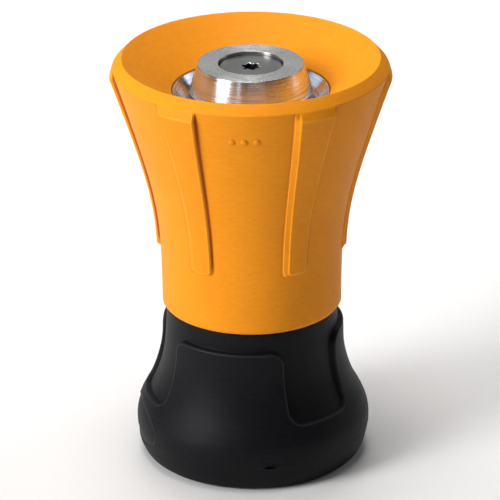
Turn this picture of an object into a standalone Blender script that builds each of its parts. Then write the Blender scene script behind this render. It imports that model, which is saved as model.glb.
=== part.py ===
"""Twist-shutoff fog nozzle for a 1-1/2 in fire hose.

Millimetres in the source, metres in the scene. The inlet stands on z = 0 and the water leaves at +Z.
At rest the barrel is at its rear stop, which is the fully open position.
"""
import math

import bmesh
import bpy
from mathutils import Vector

MM = 0.001
HEIGHT = 134.0
GAP = 0.3
SIDES = 40
OUTER_SIDES = 60

# Waterway, stem and barrel radii
WATERWAY_R = 15.5
STEM_R = 19.0
BARREL_BORE_R = STEM_R + 0.25
BARREL_R = 23.0
BUMPER_BORE_R = BARREL_R + GAP

# Helical cam: three grooves in the stem, three pins in the barrel
CAM_TRAVEL = 6.0
CAM_TURN = math.radians(120)
CAM_Z = 80.0
CAM_FLOOR_R = 17.2
PIN_R = 1.6
PIN_CLEARANCE = 0.2
THIRDS = tuple(math.tau * i / 3 for i in range(3))
LEG_FIRST = math.radians(26)
SET_SCREW_FIRST = math.radians(50)

# Hose thread: 1-1/2 in, 9 threads to the inch, female
THREAD_PITCH = 25.4 / 9
THREAD_MINOR_R = 24.0
THREAD_MAJOR_R = 25.4
THREAD_START_Z = 2.6
THREAD_RIDGES = 4

# Coupling and boot
COUPLING_R = 28.5
NECK_R = 24.5
NECK_TOP_Z = 60.0
SHOULDER_Z = 50.75
SKIRT_Z = 51.25

# O-rings
ORING_MEAN_R = 18.2
ORING_SECTION_R = 0.85
COUPLING_ORING_Z = 33.0
REAR_ORING_Z = 74.5
FRONT_ORING_Z = 104.0
SET_SCREW_Z = 44.0
SET_SCREW_R = 2.0

# Grip ribs of the bumper and pads of the boot
RIB_COUNT = 6
RIB_FIRST = math.radians(27.7)
RIB_HALF_LOW = math.radians(7.4)
RIB_HALF_HIGH = math.radians(8.7)
RIB_LOW_Z = 71.0
PANEL_FIRST = math.radians(42)

# Deflector
HEAD_TOP_Z = 131.8
SCREW_TOP_Z = 130.75
SCREW_R = 3.0
SCREW_HOLE_R = SCREW_R + GAP
SCREW_HEAD_R = 9.9
TORX_R = 2.41
TORX_WAVE = 0.385


def clear_scene():
    for obj in list(bpy.data.objects):
        bpy.data.objects.remove(obj, do_unlink=True)


def material(name, color, metallic, roughness):
    made = bpy.data.materials.new(name)
    made.use_nodes = True
    shader = made.node_tree.nodes["Principled BSDF"]
    shader.inputs["Base Color"].default_value = (*color, 1.0)
    shader.inputs["Metallic"].default_value = metallic
    shader.inputs["Roughness"].default_value = roughness
    return made


def around(radius, angle, z):
    """A point at this angle, measured from -Y towards +X."""
    return Vector((radius * math.sin(angle), -radius * math.cos(angle), z)) * MM


def finish_mesh(name, bm, mat=None, sharp=35):
    """An object made from the closed bmesh, with its faces turned outwards."""
    bmesh.ops.recalc_face_normals(bm, faces=bm.faces)
    mesh = bpy.data.meshes.new(name)
    bm.to_mesh(mesh)
    bm.free()
    mesh.shade_smooth()
    mesh.set_sharp_from_angle(angle=math.radians(sharp))
    obj = bpy.data.objects.new(name, mesh)
    bpy.context.scene.collection.objects.link(obj)
    if mat:
        mesh.materials.append(mat)
    return obj


def add_lathe(bm, outline, sides):
    """Adds the closed outline of (radius, z) points, turned about Z. A radius of 0 becomes one point."""
    rings = []
    for radius, z in outline:
        count = sides if radius else 1
        rings.append([bm.verts.new(around(radius, math.tau * i / sides, z)) for i in range(count)])
    for ring, after in zip(rings, rings[1:] + rings[:1]):
        if len(ring) == len(after) == 1:
            continue
        for i in range(sides):
            j = (i + 1) % sides
            corners = [ring[i % len(ring)], ring[j % len(ring)], after[j % len(after)], after[i % len(after)]]
            bm.faces.new(list(dict.fromkeys(corners)))


def lathe(name, outline, mat=None, sides=SIDES, sharp=35):
    bm = bmesh.new()
    add_lathe(bm, outline, sides)
    return finish_mesh(name, bm, mat, sharp)


def add_loft(bm, loops):
    """Adds a closed solid through point loops of equal length, with flat ends."""
    rings = [[bm.verts.new(point) for point in loop] for loop in loops]
    for ring, after in zip(rings, rings[1:]):
        for i in range(len(ring)):
            j = (i + 1) % len(ring)
            bm.faces.new((ring[i], ring[j], after[j], after[i]))
    bm.faces.new(rings[0])
    bm.faces.new(rings[-1])


def radial_rod(bm, radius, start, end, angle, z, sides=12):
    """Adds a rod that points away from the axis."""
    out = around(1, angle, 0).normalized()
    side = Vector((-out.y, out.x, 0))
    loops = []
    for distance in (start, end):
        centre = out * distance * MM + Vector((0, 0, z * MM))
        turns = (math.tau * i / sides for i in range(sides))
        loops.append([centre + (side * math.cos(t) + Vector((0, 0, math.sin(t)))) * radius * MM for t in turns])
    add_loft(bm, loops)


def use(obj, tool, operation="DIFFERENCE"):
    """Cuts the tool from the object or joins it, and hides the tool."""
    modifier = obj.modifiers.new(tool.name, "BOOLEAN")
    modifier.operation = operation
    modifier.solver = "EXACT"
    modifier.object = tool
    tool.hide_render = True
    tool.display_type = "WIRE"


def square_ring(inner, outer, low, high):
    return [(inner, low), (outer, low), (outer, high), (inner, high)]


def round_section(mean, section, z, sides=8):
    turns = [math.tau * (i + 0.5) / sides for i in range(sides)]
    return [(mean + section * math.cos(t), z + section * math.sin(t)) for t in turns]


# Inlet end

def thread_outline():
    """Ridges of the female thread from the mouth inwards, as (radius, z)."""
    slope = (THREAD_MAJOR_R - THREAD_MINOR_R) * math.tan(math.radians(30))
    flat = 0.175
    points = []
    for i in range(THREAD_RIDGES):
        z = THREAD_START_Z + THREAD_PITCH * (i + 0.5)
        points.append((THREAD_MAJOR_R, z - flat - slope))
        points.append((THREAD_MINOR_R, z - flat))
        points.append((THREAD_MINOR_R, z + flat))
        points.append((THREAD_MAJOR_R, z + flat + slope))
    return points


def make_coupling(mat):
    mouth = [(26.4, 1.0), (THREAD_MAJOR_R, 2.0)]
    seat = [(THREAD_MAJOR_R, 16.4), (24.1, 16.4), (24.1, 20.3), (19.6, 20.3), (15.6, 26.8)]
    bore = [(STEM_R + GAP, 26.8), (STEM_R + GAP, NECK_TOP_Z)]
    outside = [(NECK_R - 0.6, NECK_TOP_Z), (NECK_R, NECK_TOP_Z - 0.6), (NECK_R, 27.0)]
    rear = [(COUPLING_R, 22.0), (COUPLING_R, 1.6), (COUPLING_R - 0.6, 1.0)]
    coupling = lathe("inlet_coupling", mouth + thread_outline() + seat + bore + outside + rear, mat)
    holes = bmesh.new()
    for angle in THIRDS:
        radial_rod(holes, SET_SCREW_R + GAP, STEM_R - 1, NECK_R + 1, SET_SCREW_FIRST + angle, SET_SCREW_Z)
    use(coupling, finish_mesh("set_screw_holes", holes))


def boot_outline():
    hollow = [(COUPLING_R + GAP, 0.0), (COUPLING_R + GAP, 22.2), (NECK_R + GAP, 27.3)]
    shoulder = [(NECK_R + GAP, SHOULDER_Z), (26.9, SHOULDER_Z), (27.2, SHOULDER_Z - 0.3)]
    pads = [(27.3, 45.1), (28.7, 44.7), (29.2, 44.0), (29.3, 42.0), (29.5, 36.0), (30.8, 30.0)]
    bell = [(32.85, 24.0), (35.96, 18.0), (37.2, 15.0), (37.55, 12.0), (37.07, 7.0), (35.94, 3.0)]
    return hollow + shoulder + pads + bell + [(34.4, 0.6), (33.42, 0.0)]


def panel_tool():
    """Three sunk panels between the pads, open to the neck at the top."""
    # height, floor radius, half width in degrees
    stations = (
        (20.6, 34.7, 16.0),
        (21.3, 33.4, 19.0),
        (23.5, 32.0, 20.8),
        (27.0, 30.4, 21.5),
        (31.0, 29.1, 21.7),
        (36.0, 28.1, 21.9),
        (41.0, 27.6, 22.5),
        (43.4, 27.4, 24.5),
        (46.0, 27.2, 29.0),
    )
    bm = bmesh.new()
    for third in THIRDS:
        loops = []
        for z, floor, width in stations:
            angles = [PANEL_FIRST + third + math.radians(width * (i / 3 - 1)) for i in range(7)]
            loops.append([around(floor, a, z) for a in angles] + [around(41, a, z) for a in reversed(angles)])
        add_loft(bm, loops)
    return finish_mesh("boot_panels", bm)


def make_inlet_end(aluminium, boot_rubber, seal_rubber, steel):
    make_coupling(aluminium)
    boot = lathe("rear_boot", boot_outline(), boot_rubber, OUTER_SIDES)
    use(boot, panel_tool())
    lathe("inlet_gasket", square_ring(19.7, 23.7, 17.0, 20.0), seal_rubber)
    for i, third in enumerate(THIRDS):
        angle = SET_SCREW_FIRST + third
        bm = bmesh.new()
        radial_rod(bm, SET_SCREW_R, STEM_R - 0.7, NECK_R - 0.4, angle, SET_SCREW_Z)
        screw = finish_mesh(f"set_screw_{i + 1}", bm, steel)
        socket = bmesh.new()
        radial_rod(socket, 1.15, NECK_R - 2.4, NECK_R + 1, angle, SET_SCREW_Z, 6)
        use(screw, finish_mesh(f"set_screw_socket_{i + 1}", socket))


# Stem

def stem_outline():
    def groove(z):
        floor = ORING_MEAN_R - ORING_SECTION_R - 0.15
        return [(STEM_R, z - 1.1), (floor, z - 1.1), (floor, z + 1.1), (STEM_R, z + 1.1)]

    outside = [(WATERWAY_R, 27.1), (STEM_R - 0.4, 27.1), (STEM_R, 27.5)]
    for z in (COUPLING_ORING_Z, REAR_ORING_Z, FRONT_ORING_Z):
        outside += groove(z)
    return outside + [(STEM_R, 110.4), (STEM_R - 0.6, 111.0), (16.3, 111.0), (WATERWAY_R, 109.0)]


def spider():
    """Three legs and the centre post that carries the deflector."""
    bm = bmesh.new()
    post = [(0, 90.0), (4.4, 92.4), (6.2, 96.0), (6.2, 107.0), (5.2, 110.0), (5.2, 124.0)]
    add_lathe(bm, post + [(SCREW_HOLE_R, 124.0), (SCREW_HOLE_R, 104.5), (0, 104.5)], 24)
    return finish_mesh("stem_post", bm)


def leg_tool():
    bm = bmesh.new()
    for third in THIRDS:
        out = around(1, LEG_FIRST + third, 0).normalized()
        side = Vector((-out.y, out.x, 0))
        loops = []
        for distance in (4.6, 16.6):
            shape = [(-1.5, 97.5), (0, 96.0), (1.5, 97.5), (1.5, 106.0), (-1.5, 106.0)]
            loops.append([(out * distance + side * x + Vector((0, 0, z))) * MM for x, z in shape])
        add_loft(bm, loops)
    return finish_mesh("stem_legs", bm)


def cam_tool():
    """Three helical grooves with rounded ends. Each climbs CAM_TRAVEL over CAM_TURN."""
    width = PIN_R + PIN_CLEARANCE
    tip = width / CAM_FLOOR_R
    steps = 12
    ends = (0.99, 0.8, 0.45)
    stations = [(-tip * e, width * math.sqrt(1 - e * e)) for e in ends]
    stations += [(CAM_TURN * i / steps, width) for i in range(steps + 1)]
    stations += [(CAM_TURN + tip * e, width * math.sqrt(1 - e * e)) for e in reversed(ends)]
    bm = bmesh.new()
    for third in THIRDS:
        loops = []
        for turn, half in stations:
            z = CAM_Z + CAM_TRAVEL * turn / CAM_TURN
            corners = square_ring(CAM_FLOOR_R, STEM_R + 1, z - half, z + half)
            loops.append([around(radius, third + turn, height) for radius, height in corners])
        add_loft(bm, loops)
    return finish_mesh("cam_grooves", bm)


def dimple_tool():
    bm = bmesh.new()
    for angle in THIRDS:
        radial_rod(bm, SET_SCREW_R + GAP, STEM_R - 1.0, STEM_R + 1, SET_SCREW_FIRST + angle, SET_SCREW_Z)
    return finish_mesh("set_screw_dimples", bm)


def make_stem(aluminium, seal_rubber):
    stem = lathe("stem", stem_outline(), aluminium)
    use(stem, dimple_tool())
    use(stem, leg_tool(), "UNION")
    use(stem, spider(), "UNION")
    use(stem, cam_tool())
    rings = {"coupling_oring": COUPLING_ORING_Z, "stem_oring_rear": REAR_ORING_Z, "stem_oring_front": FRONT_ORING_Z}
    for name, z in rings.items():
        lathe(name, round_section(ORING_MEAN_R, ORING_SECTION_R, z), seal_rubber, SIDES, 80)


# Deflector

def torx_tool():
    loops = []
    for z in (SCREW_TOP_Z - 2.2, SCREW_TOP_Z + 0.6):
        turns = [math.tau * i / 36 for i in range(36)]
        loops.append([around(TORX_R + TORX_WAVE * math.cos(6 * t), t, z) for t in turns])
    bm = bmesh.new()
    add_loft(bm, loops)
    return finish_mesh("torx_socket", bm)


def make_deflector(aluminium, seal_rubber, steel):
    hub = [(5.5, 114.5), (8.0, 114.5), (9.5, 117.2), (15.2, 121.0), (15.2, 123.5)]
    face = [(18.6, 123.5), (18.6, 122.6), (19.2, 122.6), (19.25, 123.1), (16.7, 131.6), (16.5, HEAD_TOP_Z)]
    recess = [(10.3, HEAD_TOP_Z), (10.2, HEAD_TOP_Z - 0.2), (10.2, 126.6), (SCREW_HOLE_R, 126.6)]
    lathe("deflector_head", hub + face + recess + [(SCREW_HOLE_R, 124.3), (5.5, 124.3)], aluminium)
    lathe("head_seal", square_ring(15.5, 18.3, 120.6, 123.2), seal_rubber)
    lathe("screw_washer", square_ring(SCREW_HOLE_R, 9.6, 126.9, 127.6), steel)
    head = [(0, SCREW_TOP_Z), (SCREW_HEAD_R - 0.3, SCREW_TOP_Z), (SCREW_HEAD_R, SCREW_TOP_Z - 0.3)]
    head += [(SCREW_HEAD_R, 127.9)]
    shank = [(SCREW_R, 127.9), (SCREW_R, 106.5), (SCREW_R - 0.8, 105.7), (0, 105.7)]
    screw = lathe("deflector_screw", head + shank, steel)
    use(screw, torx_tool())


# Barrel, its rings and its bumper

def barrel_outline():
    rear = [(19.5, 62.0), (BARREL_R - 0.5, 62.0), (BARREL_R, 62.5), (BARREL_R, 119.2)]
    flange = [(24.6, 119.2), (24.6, 122.9), (24.4, 123.0)]
    throat = [(20.6, 118.5), (20.4, 118.2), (20.4, 114.4), (16.8, 114.4), (16.2, 113.8), (16.2, 112.4), (16.8, 111.8)]
    glide_groove = [(BARREL_BORE_R, 93.8), (20.9, 93.8), (20.9, 90.2), (BARREL_BORE_R, 90.2)]
    wiper_groove = [(BARREL_BORE_R, 65.5), (21.6, 65.5), (21.6, 62.9), (19.5, 62.9)]
    return rear + flange + throat + [(BARREL_BORE_R, 111.8)] + glide_groove + wiper_groove


def make_barrel(aluminium, steel):
    barrel = lathe("barrel", barrel_outline(), aluminium)
    holes = bmesh.new()
    for i, angle in enumerate(THIRDS):
        radial_rod(holes, PIN_R + GAP, STEM_R - 0.6, BARREL_R + 1, angle, CAM_Z)
        bm = bmesh.new()
        radial_rod(bm, PIN_R, CAM_FLOOR_R + GAP, BARREL_R - 0.3, angle, CAM_Z)
        finish_mesh(f"cam_pin_{i + 1}", bm, steel)
    use(barrel, finish_mesh("cam_pin_holes", holes))


def bumper_outline():
    skirt = [(25.2, SKIRT_Z), (27.85, SKIRT_Z), (28.3, 52.2), (28.5, 54.0), (28.7, 64.0), (29.06, 70.0)]
    flare = [(29.3, 76.0), (30.1, 84.0), (31.6, 92.0), (33.6, 100.0), (36.0, 108.0), (38.5, 116.0), (41.0, 124.0)]
    rim = [(43.2, 131.0), (40.46, HEIGHT)]
    mouth = [(24.9, 123.3), (24.9, 118.9)]
    return skirt + flare + rim + mouth + [(BUMPER_BORE_R, 118.9), (BUMPER_BORE_R, 61.6), (25.2, 61.6)]


def rib_half(z):
    """Half angle of a rib, which widens towards the rim."""
    along = (z - RIB_LOW_Z) / (HEIGHT - RIB_LOW_Z)
    return RIB_HALF_LOW + (RIB_HALF_HIGH - RIB_HALF_LOW) * along**3


def rib_tool(middle):
    """One grip rib, sunk 2 mm into the wall behind it."""
    outer = [(29.9, RIB_LOW_Z), (30.3, 71.6), (30.5, 76.0), (31.4, 84.0), (33.0, 92.0), (35.1, 100.0), (37.65, 108.0)]
    outer += [(40.2, 116.0), (42.9, 124.0), (44.3, 127.9), (43.1, 131.1)]
    inner = [(39.5, 129.0), (36.5, 116.0), (31.6, 100.0), (28.1, 84.0), (27.1, RIB_LOW_Z)]
    bm = bmesh.new()
    slices = []
    for share in (-1, -0.5, 0, 0.5, 1):
        slices.append([around(radius, middle + rib_half(z) * share, z) for radius, z in outer + inner])
    add_loft(bm, slices)
    return finish_mesh("rib", bm)


def make_bumper(mat):
    bumper = lathe("front_bumper", bumper_outline(), mat, OUTER_SIDES)
    for i in range(RIB_COUNT):
        use(bumper, rib_tool(RIB_FIRST + math.tau * i / RIB_COUNT), "UNION")


def main():
    clear_scene()
    aluminium = material("turned_aluminium", (0.78, 0.79, 0.80), 1.0, 0.32)
    steel = material("dark_steel", (0.30, 0.31, 0.32), 1.0, 0.38)
    boot_rubber = material("boot_rubber", (0.02, 0.02, 0.022), 0.0, 0.55)
    bumper_rubber = material("bumper_rubber", (0.90, 0.36, 0.03), 0.0, 0.5)
    seal_rubber = material("seal_rubber", (0.03, 0.03, 0.03), 0.0, 0.6)
    glide_plastic = material("glide_plastic", (0.85, 0.83, 0.78), 0.0, 0.4)
    make_inlet_end(aluminium, boot_rubber, seal_rubber, steel)
    make_stem(aluminium, seal_rubber)
    make_deflector(aluminium, seal_rubber, steel)
    make_barrel(aluminium, steel)
    lathe("glide_ring", square_ring(STEM_R + 0.1, 20.6, 90.5, 93.5), glide_plastic)
    lathe("wiper_ring", square_ring(STEM_R + 0.1, 21.3, 63.2, 65.2), seal_rubber)
    make_bumper(bumper_rubber)


main()
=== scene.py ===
"""Fog nozzle for a fire hose: fine meshes, materials, studio and camera."""
import math

import bmesh
import bpy
import numpy as np
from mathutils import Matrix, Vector


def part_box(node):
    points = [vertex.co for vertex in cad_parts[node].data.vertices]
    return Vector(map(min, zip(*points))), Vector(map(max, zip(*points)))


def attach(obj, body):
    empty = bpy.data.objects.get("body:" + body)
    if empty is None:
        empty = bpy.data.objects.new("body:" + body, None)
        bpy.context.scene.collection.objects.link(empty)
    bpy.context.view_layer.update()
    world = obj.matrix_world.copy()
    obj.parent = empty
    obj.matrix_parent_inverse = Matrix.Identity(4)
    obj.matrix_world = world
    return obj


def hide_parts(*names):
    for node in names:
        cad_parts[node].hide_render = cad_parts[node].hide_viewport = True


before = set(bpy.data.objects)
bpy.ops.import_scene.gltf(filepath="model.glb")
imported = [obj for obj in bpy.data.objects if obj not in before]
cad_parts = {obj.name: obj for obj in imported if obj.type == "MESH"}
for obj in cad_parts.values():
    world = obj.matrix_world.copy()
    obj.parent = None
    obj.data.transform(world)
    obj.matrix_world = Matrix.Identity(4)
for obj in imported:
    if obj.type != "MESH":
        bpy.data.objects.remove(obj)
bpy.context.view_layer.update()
MM = 0.001

# The frame gives the heights: millimetres from the inlet end
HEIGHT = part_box("front_bumper")[1][2] / MM
SKIRT_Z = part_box("front_bumper")[0][2] / MM
SHOULDER_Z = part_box("rear_boot")[1][2] / MM
HEAD_TOP_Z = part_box("deflector_head")[1][2] / MM
SCREW_TOP_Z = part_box("deflector_screw")[1][2] / MM
BARREL_LOW, BARREL_HIGH = (corner[2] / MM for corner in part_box("barrel"))

# Bumper: a skirt that flares along a soft knee into a straight cone, with a chamfered rim
SKIRT_R = 28.5
FLARE_SLOPE = 0.315
KNEE_Z = 84.0
KNEE = 8.0
RIM_R = 40.46
RIM_OUTER_R = 43.2
RIM_DROP = 3.0
BUMPER_BORE_R = 23.3

# Grip ribs. Their left side slopes more than their right side and their end. RIB_RISE is their
# height at the low end, and what it gains on the way to the bevel
RIB_COUNT = 6
RIB_FIRST = math.radians(27.5)
RIB_LOW_Z = 71.2
RIB_BEVEL_Z = 127.9
RIB_RISE = (1.15, 0.75)
RIB_FILLET = 0.42
RIB_DRAFT_LEFT = 1.35
RIB_DRAFT_RIGHT = 0.4
RIB_DRAFT_END = 0.2
RIB_CORNER = 1.2
# Painted light on the ribs' left walls, and painted shade along the crease at their left foot
LEFT_WALL_PAINTED_LIGHT = 0.25
LEFT_FOOT_PAINTED_SHADE = -0.3

# Three plain round dots in the valley that faces forward, in place of the moulded mark
DOTS_ANGLE = math.radians(-3)
DOTS_Z = 121.3
DOTS_R = 41.5
DOT_PITCH = 4.0
DOT_R = 0.9
DOT_RISE = 0.4
# Painted shade in a ring round each dot's foot
DOT_FOOT_SHADE = -0.15

# Edges of raised shapes: the width of a lighter top edge, which is wear and a painted highlight,
# and the widest draft of a wall that counts as steep and takes painted shade
EDGE_WIDTH = 0.3
STEEP_DRAFT = 0.5

# Boot: three raised pads, with sunk panels between them
PANEL_FIRST = math.radians(42)
PAD_TOP_Z = 44.4
PANEL_LOW_Z = 20.9
PAD_CORNER = 4.0
PANEL_CORNER = 3.6
PARTING_Z = 9.4
PARTING_RISE = 0.07
BOOT_FILLET = 0.38
PAD_DRAFT = 0.25
BOOT_REFERENCE_R = 28.0

# Shallow oval scallop in the boot's belly, below the panel on the left
SCALLOP_ANGLE = math.radians(-80)
SCALLOP_Z = 11.5
SCALLOP_HALF = (math.radians(24), 6.6)
SCALLOP_DEPTH = 0.5

# Moulding gate on the parting line: a notch with a faint lip
GATE_ANGLE = math.radians(9)
GATE_R = 37.5
GATE_HALF = (2.2, 0.65)
GATE_DEPTH = 0.7
GATE_LIP = 0.22

# The deflector's polished side lies outside this radius and above this height
HEAD_SIDE_R = 16.6
HEAD_SIDE_Z = 123.2

# Six-lobe socket of the deflector screw: its faces lie within this reach of the axis and between
# these depths. Those no deeper than the chamfer are bright, and the rest are painted dark as shade
LOBE_R = 2.66
LOBE_WAVE = 0.44
LOBE_TURN = math.radians(12)
SOCKET_REACH = 3.5
SOCKET_DEPTHS = (0.02, 3.0)
CHAMFER_DEPTH = 0.15

# O-rings on the stem: radius of the ring and of its section
ORING_R = 18.2
ORING_SECTION = 0.85

# Hose thread, 1-1/2 in, 9 to the inch
THREAD_PITCH = 25.4 / 9
THREAD_MINOR_R = 24.0
THREAD_MAJOR_R = 25.4


# Mesh helpers

def polar(radius, angle, z):
    """Points at these radii, angles (from -Y towards +X) and heights."""
    x = radius * np.sin(angle)
    y = -radius * np.cos(angle)
    return np.stack(np.broadcast_arrays(x, y, z), axis=-1)


def ridge(offset, width):
    """1 where the offset is 0, falling smoothly to 0 over about two widths on both sides."""
    return np.exp(-((offset / width) ** 2))


def put(name, mesh, mat, body, nodes, sharp=40):
    """Links a finished piece, parents it to the body that carries it, and hides the nodes it stands for."""
    mesh.shade_smooth()
    mesh.set_sharp_from_angle(angle=math.radians(sharp))
    if mat:
        mesh.materials.append(mat)
    piece = bpy.data.objects.new(name, mesh)
    bpy.context.scene.collection.objects.link(piece)
    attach(piece, body)
    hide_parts(*nodes)
    return piece


def closed_grid(name, rings):
    """A mesh from rings of points, closed both ways. rings is (ring, side, xyz), in millimetres."""
    count, sides = rings.shape[:2]
    index = np.arange(count * sides).reshape(count, sides)
    after = np.roll(index, -1, axis=0)
    corners = (index, np.roll(index, -1, axis=1), np.roll(after, -1, axis=1), after)
    faces = np.stack(corners, axis=-1).reshape(-1, 4)
    mesh = bpy.data.meshes.new(name)
    mesh.from_pydata((rings.reshape(-1, 3) * MM).tolist(), [], faces.tolist())
    bm = bmesh.new()
    bm.from_mesh(mesh)
    bmesh.ops.recalc_face_normals(bm, faces=bm.faces)
    bm.to_mesh(mesh)
    bm.free()
    return mesh


def rounded(corners, fillet=0.2, steps=4):
    """The closed outline of (radius, z) or (radius, z, fillet) corners, with a curve at each corner."""
    points = []
    for before, corner, after in zip(corners[-1:] + corners[:-1], corners, corners[1:] + corners[:1]):
        size = corner[2] if len(corner) > 2 else fillet
        here = np.array(corner[:2], float)
        back = np.array(before[:2], float) - here
        on = np.array(after[:2], float) - here
        reach = min(size, 0.45 * np.linalg.norm(back), 0.45 * np.linalg.norm(on))
        if reach < 0.01:
            points.append(here)
            continue
        start = here + back / np.linalg.norm(back) * reach
        end = here + on / np.linalg.norm(on) * reach
        for t in np.linspace(0, 1, steps + 1):
            points.append((1 - t) ** 2 * start + 2 * t * (1 - t) * here + t * t * end)
    return np.array(points)


def turned_mesh(name, outline, sides=160):
    """The closed outline turned about Z. It must not touch the axis."""
    angles = np.arange(sides) * math.tau / sides
    return closed_grid(name, polar(outline[:, 0, None], angles, outline[:, 1, None]))


def flatter_normals(piece):
    """Keeps the wide faces flat to the light beside their small fillets."""
    piece.modifiers.new("flat_faces", "WEIGHTED_NORMAL").keep_sharp = True


def turned(name, corners, mat, body, nodes, sides=160, fillet=0.2):
    piece = put(name, turned_mesh(name, rounded(corners, fillet), sides), mat, body, nodes)
    flatter_normals(piece)
    return piece


def relief(distance, height, fillet, draft):
    """Height of a raised shape at this distance outside its edge, with a fillet at its top and foot."""
    fillet = np.minimum(fillet, height * 0.48)
    top = height - fillet + np.sqrt(np.clip(fillet**2 - (distance + fillet) ** 2, 0, None))
    wall = (height - fillet) + (2 * fillet - height) * distance / draft
    foot = fillet - np.sqrt(np.clip(fillet**2 - (draft + fillet - distance) ** 2, 0, None))
    found = np.where(distance <= -fillet, height, top)
    found = np.where(distance > 0, wall, found)
    found = np.where(distance > draft, foot, found)
    return np.where(distance > draft + fillet, 0, found)


def edge_stations(fillet, draft, steps=6):
    """Distances across an edge that sample relief() and edge_tone() well."""
    turns = np.linspace(0, math.pi / 2, steps + 1)
    top = -fillet + fillet * np.sin(turns)
    foot = draft + fillet - fillet * np.sin(turns[::-1])
    beside = np.array((0.3, 0.65, 1.1))
    wall = np.linspace(0, draft, 5)[1:-1]
    return np.concatenate((top[0] - beside[::-1], top, wall, foot, foot[-1] + beside))


def edge_tone(distance, fillet, draft):
    """1 on a raised shape's top edge, lighter from wear and a painted highlight; near -1 on a steep wall and
    in the crease at its foot, which is painted shade.
    """
    past_top = smooth_step(distance, 0.0, EDGE_WIDTH)
    # Lighter top edge: wear and a painted highlight
    wear_and_sheen = ridge(distance + 0.5 * fillet, EDGE_WIDTH)
    # Painted shade on a steep wall and in the crease at its foot
    wall = past_top * smooth_step(draft - distance, -0.6 * fillet, 0.0) * (draft < STEEP_DRAFT)
    crease_shade = ridge(distance - draft - 0.5 * fillet, 0.14 + 0.25 * draft) * past_top
    return wear_and_sheen - np.maximum(0.9 * wall, 0.8 * crease_shade)


def store_tone(mesh, tone):
    """Keeps the edge tone of the mesh's first points for its material."""
    values = np.zeros(len(mesh.vertices), np.float32)
    values[:tone.size] = tone.ravel()
    mesh.attributes.new("edge", "FLOAT", "POINT").data.foreach_set("value", values)


def smooth_step(value, low, high):
    t = np.clip((value - low) / (high - low), 0, 1)
    return t * t * (3 - 2 * t)


def rounded_box(across, along, corner):
    """Signed distance outside a shape, from the distances outside its two edges, with a round corner."""
    x = across + corner
    y = along + corner
    return np.hypot(np.maximum(x, 0), np.maximum(y, 0)) + np.minimum(np.maximum(x, y), 0) - corner


def inner_rings(outline, first, last):
    """Rings along an outline that joins the outside's last row back to its first one."""
    rings = []
    for i, (radius, z) in enumerate(outline):
        angles = first + (last - first) * i / (len(outline) - 1)
        rings.append(polar(radius, angles, z))
    return np.stack(rings)


# Bumper

def flare(z):
    """Radius of the bumper's outside between the ribs."""
    return SKIRT_R + FLARE_SLOPE * KNEE * np.logaddexp(0, (z - KNEE_Z) / KNEE)


def rib_height(z):
    along = np.clip((z - RIB_LOW_Z) / (RIB_BEVEL_Z - RIB_LOW_Z), 0, 1)
    full = RIB_RISE[0] + RIB_RISE[1] * along**2
    bevel = np.interp(z, (RIB_BEVEL_Z, HEIGHT - RIM_DROP), (sum(RIB_RISE), 0))
    return np.minimum(full, bevel)


def rib_half(z):
    """Half angle of a rib's foot, which widens towards the rim."""
    along = np.clip((z - RIB_LOW_Z) / (RIB_BEVEL_Z - RIB_LOW_Z), 0, 1)
    return np.radians(7.8 + 1.3 * along**3)


def rib_columns(z):
    """Angles of the mesh columns at these heights, close together at the ribs' edges and the dots."""
    half = rib_half(z)
    right = half + (edge_stations(RIB_FILLET, RIB_DRAFT_RIGHT) - RIB_DRAFT_RIGHT) / flare(z)
    left = half + (edge_stations(RIB_FILLET, RIB_DRAFT_LEFT) - RIB_DRAFT_LEFT) / flare(z)
    pitch = math.tau / RIB_COUNT
    share = np.linspace(0, 1, 12)[1:-1]
    face = -left[:, :1] + (left[:, :1] + right[:, :1]) * share
    sectors = []
    for i in range(RIB_COUNT):
        marked = abs(RIB_FIRST + pitch * (i + 0.5) - math.tau) < 0.1
        share = np.linspace(0, 1, 110 if marked else 26)[1:-1]
        valley = right[:, -1:] + (pitch - right[:, -1:] - left[:, -1:]) * share
        sector = np.concatenate((-left[:, ::-1], face, right, valley), axis=1)
        sectors.append(RIB_FIRST + pitch * i + sector)
    return np.concatenate(sectors, axis=1)


def bumper_rows():
    """Heights of the rows up the outside, close together where the shape turns and across the dots."""
    low = RIB_LOW_Z - edge_stations(RIB_FILLET, RIB_DRAFT_END)
    skirt = np.linspace(SKIRT_Z + 0.9, low.min() - 0.4, 20)
    corner = np.arange(low.max() + 0.15, RIB_LOW_Z + RIB_CORNER + 0.6, 0.2)
    ribs = np.linspace(RIB_LOW_Z + RIB_CORNER + 1.2, DOTS_Z - 2.4, 52)
    dots = np.linspace(DOTS_Z - 2.2, DOTS_Z + 2.0, 30)
    above = np.linspace(DOTS_Z + 2.5, RIB_BEVEL_Z - 0.5, 7)
    bevel = np.linspace(RIB_BEVEL_Z - 0.25, RIB_BEVEL_Z + 0.25, 5)
    top = np.linspace(RIB_BEVEL_Z + 0.6, HEIGHT - RIM_DROP - 0.15, 8)
    return np.concatenate((skirt, np.sort(low), corner, ribs, dots, above, bevel, top))


def dots_relief(angle, z):
    """Three plain round dots, moulded proud of the surface, and the painted shade in a ring round their
    foot.
    """
    turn = (angle - DOTS_ANGLE + math.pi) % math.tau - math.pi
    across = turn * DOTS_R
    beside = across - DOT_PITCH * np.clip(np.round(across / DOT_PITCH), -1, 1)
    mark = DOT_R - np.hypot(beside, z - DOTS_Z)
    return DOT_RISE * smooth_step(mark, -0.2, 0.2), DOT_FOOT_SHADE * ridge(mark + 0.2, 0.22)


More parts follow.
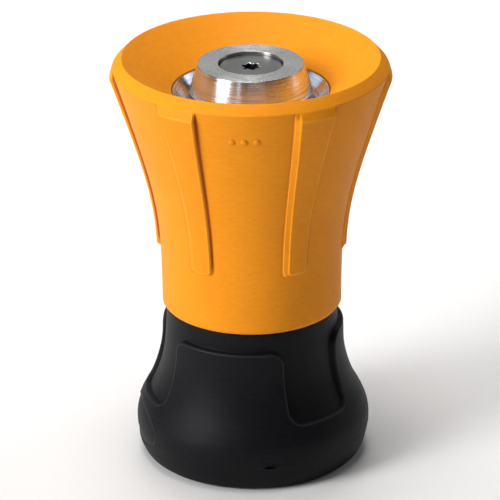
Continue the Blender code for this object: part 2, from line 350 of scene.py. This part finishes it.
def make_bumper(mat):
    rows = bumper_rows()
    angle = rib_columns(rows[:, None])
    z = np.broadcast_to(rows[:, None], angle.shape)
    pitch = math.tau / RIB_COUNT
    offset = (angle - RIB_FIRST + pitch / 2) % pitch - pitch / 2
    side_draft = np.where(offset < 0, RIB_DRAFT_LEFT, RIB_DRAFT_RIGHT)
    side = (np.abs(offset) - rib_half(z)) * flare(z) + side_draft
    end = RIB_LOW_Z - z
    distance = rounded_box(side, end, RIB_CORNER)
    draft = side_draft + (RIB_DRAFT_END - side_draft) * smooth_step(end - side, -0.6, 0.6)
    height = rib_height(z)
    dots, dots_shade = dots_relief(angle, z)
    radius = flare(z) + relief(distance, height, RIB_FILLET, draft) + dots
    # Painted shade on the ribs' steep right walls and in their creases, and lighter top edges from wear and
    # a painted highlight. The painted shade fades out towards the ribs' low end
    tone = edge_tone(distance, RIB_FILLET, draft) * smooth_step(height, 0.0, 0.7)
    tone *= np.where(tone < 0, smooth_step(z, RIB_LOW_Z, RIB_LOW_Z + 4.0), 1.0)
    # On the left side of each rib, painted light on the wall and painted shade along the crease at its foot
    # take the place of that tone
    on_left = (offset < 0) & (end < side)
    left_wall = smooth_step(distance, -0.2, 0.2) * smooth_step(draft + 0.3 - distance, 0.0, 0.3)
    foot = LEFT_FOOT_PAINTED_SHADE * ridge(distance - draft - 0.4, 0.4)
    tone = np.where(on_left, LEFT_WALL_PAINTED_LIGHT * left_wall + foot * (1 - left_wall), tone)
    # A painted highlight line along the ribs' bevel, and the painted shade round the dots
    tone += ridge(z - RIB_BEVEL_Z, 0.35) * (distance < -RIB_FILLET) + dots_shade
    outside = polar(radius, angle, z)

    rim = [(RIM_OUTER_R + 0.02, HEIGHT - RIM_DROP + 0.05), (RIM_R, HEIGHT, 0.25)]
    cone = [(24.9, 123.3, 0.15), (24.9, 118.9, 0.1), (BUMPER_BORE_R, 118.9, 0.2)]
    bore = [(BUMPER_BORE_R, 61.6, 0.3), (25.2, 61.6, 0.3), (25.2, SKIRT_Z, 0.4), (27.95, SKIRT_Z, 0.5)]
    start = [(flare(rows[-1]), rows[-1], 0)]
    finish = [(flare(rows[0]), rows[0], 0)]
    outline = rounded(start + rim + cone + bore + finish)[1:-1]
    inside = inner_rings(outline, angle[-1], angle[0])
    mesh = closed_grid("bumper", np.concatenate((outside, inside)))
    store_tone(mesh, tone)
    put("bumper", mesh, mat, "barrel_group", ["front_bumper"], sharp=50)


# Boot

def bell(z):
    """Radius of the boot's pads and bell: a curve through the foot, belly, waist and shoulder."""
    heights = (0.0, 1.0, 3.0, 7.0, 12.0, 15.0, 18.0, 24.0, 30.0, 36.0, 42.0, 51.0)
    radii = (33.7, 34.8, 35.94, 37.07, 37.55, 37.1, 35.96, 32.85, 30.75, 29.55, 29.3, 29.2)
    return spline(z, heights, radii)


def panel_floor(z):
    """Radius of the boot's neck and sunk panels."""
    heights = (15.0, 21.0, 25.0, 30.0, 36.0, 42.0, 46.0, 51.0)
    radii = (36.1, 32.95, 31.0, 29.25, 28.1, 27.6, 27.35, 27.25)
    return spline(z, heights, radii)


def spline(value, places, heights):
    """A smooth curve through the points (cubic Hermite)."""
    places = np.array(places)
    heights = np.array(heights)
    slopes = np.gradient(heights, places)
    value = np.clip(value, places[0], places[-1])
    i = np.clip(np.searchsorted(places, value) - 1, 0, len(places) - 2)
    width = places[i + 1] - places[i]
    t = (value - places[i]) / width
    a = heights[i] * (1 + 2 * t) * (1 - t) ** 2 + slopes[i] * width * t * (1 - t) ** 2
    return a + heights[i + 1] * t * t * (3 - 2 * t) + slopes[i + 1] * width * t * t * (t - 1)


def panel_half(z):
    """Half angle of a sunk panel. Its sides draw in towards the foot."""
    return np.radians(np.interp(z, (20, 24, 30, 41, 46), (20.2, 21.0, 21.6, 22.2, 22.6)))


def boot_marks(angle, z):
    """The parting line, the moulding gate and the scallop: what they add to the boot's radius."""
    line = PARTING_RISE * ridge(z - PARTING_Z, 0.16)
    turn = (angle - GATE_ANGLE + math.pi) % math.tau - math.pi
    gate = np.hypot(turn * GATE_R / GATE_HALF[0], (z - PARTING_Z) / GATE_HALF[1])
    notch = -GATE_DEPTH * (1 - smooth_step(gate, 0.6, 1.1))
    lip = GATE_LIP * ridge(gate - 1.35, 0.25)
    aside = (angle - SCALLOP_ANGLE + math.pi) % math.tau - math.pi
    oval = np.hypot(aside / SCALLOP_HALF[0], (z - SCALLOP_Z) / SCALLOP_HALF[1])
    dish = SCALLOP_DEPTH * (1 - smooth_step(oval, 0.93, 1.0)) * (0.6 + 0.4 * oval**2)
    return line + notch + lip - dish


def boot_columns():
    """Offsets from a panel's middle, in panel half widths plus millimetres, as (share, distance)."""
    near = np.arange(-1.6, 1.61, 0.16)
    inner = np.linspace(-5.2, -1.9, 10)
    outer = np.linspace(1.9, 5.2, 10)
    edge = np.concatenate((inner, near, outer))
    right = [(1.0, d) for d in edge]
    left = [(-1.0, -d) for d in edge[::-1]]
    middle = [(0.0, d) for d in np.linspace(-4.6, 4.6, 8)]
    return left + middle + right


def make_boot(mat):
    columns = boot_columns()
    share = np.array([c[0] for c in columns])
    shift = np.array([c[1] for c in columns])
    low = PANEL_LOW_Z + np.arange(-1.6, 3.8, 0.22)
    top = PAD_TOP_Z + np.arange(-4.2, 2.0, 0.2)
    parting = PARTING_Z + np.linspace(-0.9, 0.9, 19)
    foot = np.linspace(1.0, parting[0] - 0.3, 26)
    belly = np.linspace(parting[-1] + 0.3, low[0] - 0.3, 30)
    waist = np.linspace(low[-1] + 0.6, top[0] - 0.5, 20)
    shoulder = np.linspace(top[-1] + 0.5, SHOULDER_Z - 0.45, 6)
    rows = np.concatenate((foot, parting, belly, low, waist, top, shoulder))
    z = rows[:, None]
    panel = share * panel_half(z) + shift / BOOT_REFERENCE_R
    spare = np.linspace(0, 1, 120)[1:-1]
    third = math.tau / 3
    pad = panel[:, -1:] + (third - panel[:, -1:] + panel[:, :1]) * spare
    offset = np.concatenate((panel, pad), axis=1)
    wrapped = (offset + third / 2) % third - third / 2
    outside_pad = (np.abs(wrapped) - panel_half(z)) * BOOT_REFERENCE_R
    into_pad = rounded_box(-outside_pad, z - PAD_TOP_Z, PAD_CORNER)
    sunk = rounded_box(-into_pad, PANEL_LOW_Z - z, PANEL_CORNER)
    height = bell(z) - panel_floor(z)
    radius = panel_floor(z) + relief(-sunk, height, BOOT_FILLET, PAD_DRAFT)
    angle = np.concatenate([PANEL_FIRST + third * i + offset for i in range(3)], axis=1)
    radius = np.tile(radius, (1, 3))
    # Painted shade on the pads' steep walls and in the creases at their foot, and lighter top edges from
    # wear and a painted highlight
    tone = np.tile(edge_tone(-sunk, BOOT_FILLET, PAD_DRAFT) * smooth_step(height, 0.2, 0.9), (1, 3))
    z = np.broadcast_to(z, radius.shape)
    radius = radius + boot_marks(angle, z)
    outside = polar(radius, angle, z)

    upper = [(27.2, rows[-1], 0), (27.2, SHOULDER_Z, 0.45), (24.8, SHOULDER_Z, 0.4), (24.8, 27.3, 0.5)]
    lower = [(28.8, 22.2, 0.5), (28.8, 0.0, 0.4), (33.45, 0.0, 0.5), (bell(1.0), 1.0, 0)]
    outline = rounded(upper + lower)[1:-1]
    inside = inner_rings(outline, angle[-1], angle[0])
    mesh = closed_grid("boot", np.concatenate((outside, inside)))
    store_tone(mesh, tone)
    put("boot", mesh, mat, "base", ["rear_boot"], sharp=60)


# Turned metal pieces

def make_head(mat, polished):
    """The deflector: a satin top and recess, and a polished side above the lip."""
    hub = [(5.5, 114.5), (8.0, 114.5, 0.6), (9.5, 117.2, 1.0), (15.2, 121.0, 0.5), (15.2, 123.5)]
    face = [(18.6, 123.5), (18.6, 122.6, 0.1), (19.3, 122.6, 0.15), (19.45, 123.0, 0.2), (19.25, 123.3, 0.1)]
    top = [(16.55, HEAD_TOP_Z, 0.18), (10.2, HEAD_TOP_Z, 0.15), (10.2, 126.6)]
    outline = hub + face + top + [(3.3, 126.6), (3.3, 124.3), (5.5, 124.3)]
    piece = turned("head", outline, mat, "base", ["deflector_head"], 224)
    piece.data.materials.append(polished)
    for side in piece.data.polygons:
        reach = math.hypot(*side.center[:2])
        side.material_index = int(reach > HEAD_SIDE_R * MM and side.center[2] > HEAD_SIDE_Z * MM)


def make_screw(mat, recess, bright):
    """The flat-headed screw with a six-lobe socket, whose inside is painted dark as shade."""
    sides = 216
    angles = np.arange(sides) * math.tau / sides
    rings = []

    def ring(radius, z):
        rings.append(polar(radius, angles, z))

    lobe = LOBE_R + LOBE_WAVE * np.cos(6 * (angles - LOBE_TURN))
    head = rounded([(3.6, SCREW_TOP_Z, 0), (9.9, SCREW_TOP_Z, 0.3), (9.9, 127.9, 0.2), (3.0, 127.9, 0)])
    for share in (0.02, 0.5, 0.98):
        ring(lobe * share, SCREW_TOP_Z - 2.2 - 0.5 * (1 - share))
    for drop in (2.0, 1.0, 0.3):
        ring(lobe, SCREW_TOP_Z - drop)
    ring(lobe + 0.03, SCREW_TOP_Z - 0.2)
    ring(lobe + 0.27, SCREW_TOP_Z)
    for radius, z in head[1:]:
        ring(radius, z)
    for radius, z in ((3.0, 107.0), (2.4, 106.2), (2.2, 105.7), (0.05, 105.7)):
        ring(radius, z)
    mesh = closed_grid("screw", np.stack(rings))
    mesh.materials.append(mat)
    mesh.materials.append(recess)
    mesh.materials.append(bright)
    # The socket's inside takes a dark material that is painted shade; its chamfer takes the polished metal
    for face in mesh.polygons:
        depth = SCREW_TOP_Z - face.center[2] / MM
        inside = SOCKET_DEPTHS[0] < depth < SOCKET_DEPTHS[1]
        if inside and math.hypot(*face.center[:2]) < SOCKET_REACH * MM:
            face.material_index = 1 if depth > CHAMFER_DEPTH else 2
    piece = put("screw", mesh, None, "base", ["deflector_screw"])
    flatter_normals(piece)


def make_barrel(mat):
    rear = [(19.5, BARREL_LOW), (23.0, BARREL_LOW, 0.5), (23.0, 119.2, 0.15), (24.6, 119.2)]
    nose = [(24.6, BARREL_HIGH - 0.05, 0.15), (24.35, BARREL_HIGH, 0.1), (20.5, 118.4, 0.3)]
    seat = [(20.4, 114.4, 0.2), (16.8, 114.4, 0.3), (16.2, 113.8, 0.3), (16.2, 112.4, 0.3)]
    bore = [(16.8, 111.8, 0.3), (19.25, 111.8), (19.25, 93.8), (20.9, 93.8), (20.9, 90.2), (19.25, 90.2)]
    wiper = [(19.25, 65.5), (21.6, 65.5), (21.6, 62.9), (19.5, 62.9)]
    turned("barrel_tube", rear + nose + seat + bore + wiper, mat, "barrel_group", ["barrel"], 224)


def make_coupling(mat):
    """Rings up the bore carry the hose thread as a true helix."""
    sides = 144
    angles = np.arange(sides) * math.tau / sides
    rows = np.linspace(2.2, 16.2, 84)
    z, angle = np.meshgrid(rows, angles, indexing="ij")
    phase = ((z - 2.6) / THREAD_PITCH - angle / math.tau) % 1.0
    crest = np.clip((0.36 - np.abs(phase - 0.5)) / 0.30, 0, 1)
    run_in = smooth_step(z, 2.4, 3.8) * (1 - smooth_step(z, 14.6, 15.6))
    radius = THREAD_MAJOR_R - (THREAD_MAJOR_R - THREAD_MINOR_R) * crest * run_in
    thread = polar(radius, angle, z)
    seat = [(THREAD_MAJOR_R, 16.2, 0), (THREAD_MAJOR_R, 16.5), (24.1, 16.5, 0.15), (24.1, 20.3, 0.1)]
    funnel = [(19.6, 20.3, 0.4), (15.6, 26.8, 0.2), (19.3, 26.8), (19.3, 60.0, 0.3)]
    outside = [(24.5, 60.0, 0.6), (24.5, 27.0, 0.8), (28.5, 22.0, 0.8), (28.5, 1.0, 0.6), (26.4, 1.0, 0.3)]
    outline = rounded(seat + funnel + outside + [(THREAD_MAJOR_R, 2.0, 0)])
    rest = polar(outline[:, 0, None], angles, outline[:, 1, None])
    mesh = closed_grid("coupling", np.concatenate((thread, rest)))
    put("coupling", mesh, mat, "base", ["inlet_coupling"], sharp=30)


def make_seals(rubber, plastic, steel):
    flats = {
        "gasket": ("inlet_gasket", "base", 19.7, 23.7, 17.0, 20.0, rubber),
        "deflector_seal": ("head_seal", "base", 15.5, 18.3, 120.6, 123.2, rubber),
        "washer": ("screw_washer", "base", 3.3, 9.6, 126.9, 127.6, steel),
        "guide_ring": ("glide_ring", "slide_rings", 19.1, 20.6, 90.5, 93.5, plastic),
        "wiper": ("wiper_ring", "slide_rings", 19.1, 21.3, 63.2, 65.2, rubber),
    }
    for name, (node, body, inner, outer, low, high, mat) in flats.items():
        outline = [(inner, low), (outer, low), (outer, high), (inner, high)]
        turned(name, outline, mat, body, [node], 128, 0.3)
    for node in ("coupling_oring", "stem_oring_rear", "stem_oring_front"):
        low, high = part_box(node)
        z = (low[2] + high[2]) / 2 / MM
        turns = np.arange(20) * math.tau / 20
        radius = ORING_R + ORING_SECTION * np.cos(turns)
        outline = np.stack((radius, z + ORING_SECTION * np.sin(turns)), axis=-1)
        put(node + "_fine", turned_mesh(node, outline, 128), rubber, "base", [node], sharp=80)


# Materials

class Nodes:
    """Builds one material's nodes with short calls."""

    def __init__(self, name):
        self.material = bpy.data.materials.new(name)
        self.material.use_nodes = True
        self.tree = self.material.node_tree
        self.shader = self.tree.nodes["Principled BSDF"]

    def add(self, kind, **values):
        node = self.tree.nodes.new("ShaderNode" + kind)
        for key, value in values.items():
            if hasattr(node, key):
                setattr(node, key, value)
            else:
                self.set(node, key.replace("_", " "), value)
        return node

    def set(self, node, socket, value):
        if isinstance(value, bpy.types.NodeSocket):
            self.tree.links.new(value, node.inputs[socket])
        else:
            node.inputs[socket].default_value = value

    def place(self):
        return self.add("TexCoord").outputs["Object"]

    def noise(self, where, scale, detail=3.0, roughness=0.5):
        node = self.add("TexNoise", Scale=scale, Detail=detail, Roughness=roughness)
        self.set(node, "Vector", where)
        return node.outputs["Fac"]

    def ramp(self, fac, low, high, start, end):
        """A value or colour that goes from start to end while fac goes from low to high."""
        if isinstance(start, tuple):
            return self.blend(self.ramp(fac, low, high, 0.0, 1.0), start, end)
        node = self.add("MapRange")
        sockets = {"Value": fac, "From Min": low, "From Max": high, "To Min": start, "To Max": end}
        for socket, value in sockets.items():
            self.set(node, socket, value)
        return node.outputs["Result"]

    def blend(self, share, start, end):
        """The colour start, turned into the colour end by this share."""
        node = self.add("Mix", data_type="RGBA")
        for socket, value in ((0, share), (6, start), (7, end)):
            self.set(node, socket, (*value, 1) if isinstance(value, tuple) else value)
        return node.outputs[2]

    def math(self, operation, a, b=0.0):
        node = self.add("Math", operation=operation)
        self.set(node, 0, a)
        self.set(node, 1, b)
        return node.outputs[0]

    def bump(self, height, strength, distance):
        node = self.add("Bump", Strength=strength, Distance=distance)
        self.set(node, "Height", height)
        self.set(self.shader, "Normal", node.outputs["Normal"])


def moulded_rubber(name, dark, light, roughness, grain, crease_shade=None, wear_and_sheen=None, specular=0.5):
    """Moulded rubber: a fine matte grain, faint flow lines, painted shade on steep walls and in creases, and
    smoother edges, lighter from wear and a painted highlight.
    """
    n = Nodes(name)
    where = n.place()
    clouds = n.noise(where, 45.0, 4.0)
    fine = n.noise(where, 2600.0, 2.0, 0.6)
    x, y, z = n.add("SeparateXYZ", Vector=where).outputs
    flow = n.add("CombineXYZ", X=n.math("MULTIPLY", n.math("ARCTAN2", y, x), 0.009), Y=z)
    lines = n.noise(flow.outputs[0], 1100.0, 3.0)
    blotch = n.math("MULTIPLY", n.math("ADD", n.math("ADD", clouds, fine), lines), 0.333)
    color = n.ramp(blotch, 0.43, 0.57, dark, light)
    gloss = n.ramp(fine, 0.3, 0.7, roughness - 0.05, roughness + 0.05)
    if crease_shade:
        edge = n.add("Attribute", attribute_name="edge").outputs["Fac"]
        edge = n.math("MULTIPLY", edge, n.ramp(clouds, 0.3, 0.6, 0.6, 1.0))
        # Below 0 the edge attribute turns the colour towards the painted shade, above 0 towards the lighter
        # colour of wear and a painted highlight
        color = n.blend(n.ramp(edge, 0.0, -1.0, 0.0, 1.0), color, crease_shade)
        color = n.blend(n.ramp(edge, 0.1, 1.0, 0.0, 1.0), color, wear_and_sheen)
        gloss = n.math("SUBTRACT", gloss, n.ramp(edge, 0.1, 1.0, 0.0, 0.12))
    n.set(n.shader, "Base Color", color)
    n.set(n.shader, "Roughness", gloss)
    n.set(n.shader, "Specular IOR Level", specular)
    n.bump(fine, grain, 0.00006)
    return n.material


def turned_metal(name, dark, light, roughness, lines, anisotropy):
    """Metal with turning marks that run round the axis, and a reflection stretched across them."""
    n = Nodes(name)
    where = n.place()
    x, y, z = n.add("SeparateXYZ", Vector=where).outputs
    radius = n.math("SQRT", n.math("ADD", n.math("MULTIPLY", x, x), n.math("MULTIPLY", y, y)))
    angle = n.math("ARCTAN2", y, x)
    along = n.add("CombineXYZ", X=radius, Y=z, Z=n.math("MULTIPLY", angle, 0.0004))
    marks = n.noise(along.outputs[0], lines, 3.0, 0.6)
    patches = n.noise(where, 160.0, 2.0)
    n.set(n.shader, "Base Color", n.ramp(marks, 0.3, 0.7, dark, light))
    n.set(n.shader, "Metallic", 0.93)
    wear_and_sheen = n.math("MULTIPLY", marks, patches)
    n.set(n.shader, "Roughness", n.ramp(wear_and_sheen, 0.1, 0.45, roughness - 0.06, roughness + 0.1))
    n.set(n.shader, "Anisotropic", anisotropy)
    n.set(n.shader, "Anisotropic Rotation", 0.25)
    tangent = n.add("Tangent", direction_type="RADIAL", axis="Z")
    n.set(n.shader, "Tangent", tangent.outputs[0])
    n.bump(marks, 0.3, 0.00002)
    return n.material


def make_materials():
    rubbers = {
        # For orange and black, the last two colours are the painted crease shade and the edges' lighter
        # colour of wear and a painted highlight
        "orange": ("orange_rubber", (0.865, 0.288, 0.009), (0.935, 0.318, 0.011), 0.55, 0.3,
                   (0.30, 0.008, 0.006), (1.0, 0.42, 0.03), 0.12),
        "black": ("black_rubber", (0.0024, 0.0024, 0.0036), (0.0046, 0.0046, 0.0064), 0.52, 0.9,
                  (0.0010, 0.0010, 0.0012), (0.022, 0.022, 0.025), 0.14),
        "seal": ("seal_black", (0.016, 0.016, 0.016), (0.024, 0.024, 0.024), 0.55, 0.2),
        "plastic": ("bearing_plastic", (0.74, 0.72, 0.66), (0.8, 0.78, 0.72), 0.42, 0.15),
        # The dark socket inside is painted shade
        "socket_shade": ("socket_painted_shade", (0.004, 0.004, 0.004), (0.012, 0.011, 0.010), 0.4, 0.2),
    }
    metals = {
        "aluminium": ("turned_alu", (0.36, 0.357, 0.353), (0.57, 0.565, 0.56), 0.27, 9000.0, 0.8),
        "polished": ("polished_alu", (0.36, 0.42, 0.52), (0.90, 0.95, 1.0), 0.23, 3800.0, 0.8),
        "nose": ("bright_nose", (0.30, 0.35, 0.44), (0.70, 0.77, 0.90), 0.2, 5200.0, 0.8),
        "steel": ("dull_steel", (0.13, 0.13, 0.126), (0.22, 0.22, 0.212), 0.36, 4200.0, 0.3),
    }
    mats = {key: moulded_rubber(*values) for key, values in rubbers.items()}
    mats.update((key, turned_metal(*values)) for key, values in metals.items())
    return mats


# Studio

def area(name, place, size, power, target=(0, 0, 0.07), spread=180):
    data = bpy.data.lights.new(name, "AREA")
    data.shape = "RECTANGLE"
    data.size, data.size_y = size
    data.energy = power
    data.spread = math.radians(spread)
    light = bpy.data.objects.new(name, data)
    light.location = place
    light.rotation_euler = (Vector(target) - Vector(place)).to_track_quat("-Z", "Y").to_euler()
    bpy.context.scene.collection.objects.link(light)


def make_floor():
    mesh = bpy.data.meshes.new("floor")
    reach = 6.0
    corners = [(-reach, -reach, 0), (reach, -reach, 0), (reach, reach, 0), (-reach, reach, 0)]
    mesh.from_pydata(corners, [], [(0, 1, 2, 3)])
    n = Nodes("floor_paint")
    paper = n.noise(n.place(), 900.0)
    n.set(n.shader, "Base Color", n.ramp(paper, 0.3, 0.7, (0.76, 0.76, 0.76), (0.78, 0.78, 0.78)))
    n.set(n.shader, "Roughness", 0.9)
    mesh.materials.append(n.material)
    floor = bpy.data.objects.new("floor", mesh)
    bpy.context.scene.collection.objects.link(floor)


def make_world():
    world = bpy.data.worlds.new("studio")
    world.use_nodes = True
    background = world.node_tree.nodes["Background"]
    background.inputs["Color"].default_value = (1, 1, 1, 1)
    background.inputs["Strength"].default_value = 0.02
    bpy.context.scene.world = world
    bpy.context.scene.view_settings.view_transform = "Standard"


# Camera, at the angle of the photo: it looks down at the middle of the nozzle, and leans a little
CAMERA_ELEVATION = math.radians(23.78)
CAMERA_ROLL = math.radians(-0.29)
CAMERA_DISTANCE = 1.2403
CAMERA_LENS = 280.45
CAMERA_SHIFT = (-0.0035, 0.0063)


def make_camera():
    middle = Vector((0, 0, HEIGHT * MM / 2))
    data = bpy.data.cameras.new("camera")
    data.lens = CAMERA_LENS
    data.sensor_width = 36.0
    data.shift_x, data.shift_y = CAMERA_SHIFT
    camera = bpy.data.objects.new("camera", data)
    away = Vector((0, -math.cos(CAMERA_ELEVATION), math.sin(CAMERA_ELEVATION)))
    camera.location = middle + away * CAMERA_DISTANCE
    camera.rotation_euler = (math.pi / 2 - CAMERA_ELEVATION, 0, 0)
    camera.rotation_euler.rotate_axis("Z", CAMERA_ROLL)
    bpy.context.scene.collection.objects.link(camera)
    bpy.context.scene.camera = camera


def main():
    mats = make_materials()
    make_bumper(mats["orange"])
    make_boot(mats["black"])
    make_head(mats["aluminium"], mats["polished"])
    make_screw(mats["steel"], mats["socket_shade"], mats["polished"])
    make_barrel(mats["nose"])
    make_coupling(mats["aluminium"])
    make_seals(mats["seal"], mats["plastic"], mats["steel"])
    carried_over = {"stem": "aluminium"}
    for i in (1, 2, 3):
        carried_over[f"set_screw_{i}"] = "steel"
        carried_over[f"cam_pin_{i}"] = "steel"
    for node, mat in carried_over.items():
        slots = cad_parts[node].data.materials
        slots.clear()
        slots.append(mats[mat])
    make_floor()
    make_world()
    area("key", (-1.07, -0.62, 0.68), (0.5, 0.9), 18.6)
    area("overhead", (-0.1, 0.0, 1.4), (0.8, 0.6), 1.8, spread=70)
    area("backdrop", (0, 1.3, 0.8), (1.6, 0.6), 2.2)
    area("edge", (1.15, 0.4, 0.6), (0.6, 0.5), 2.0)
    area("left_back", (-1.1, 0.6, 0.6), (0.8, 0.5), 1.4)
    area("side", (1.2, -0.75, 0.9), (0.6, 0.6), 0.12)
    area("front", (0.3, -1.45, 0.78), (1.0, 0.3), 0.43)
    area("strip", (-0.62, -1.32, 0.8), (0.16, 0.5), 0.6)
    area("floor_wash", (0, 0.75, 0.9), (0.9, 0.3), 1.0, target=(0, 0.35, 0), spread=50)
    make_camera()


main()
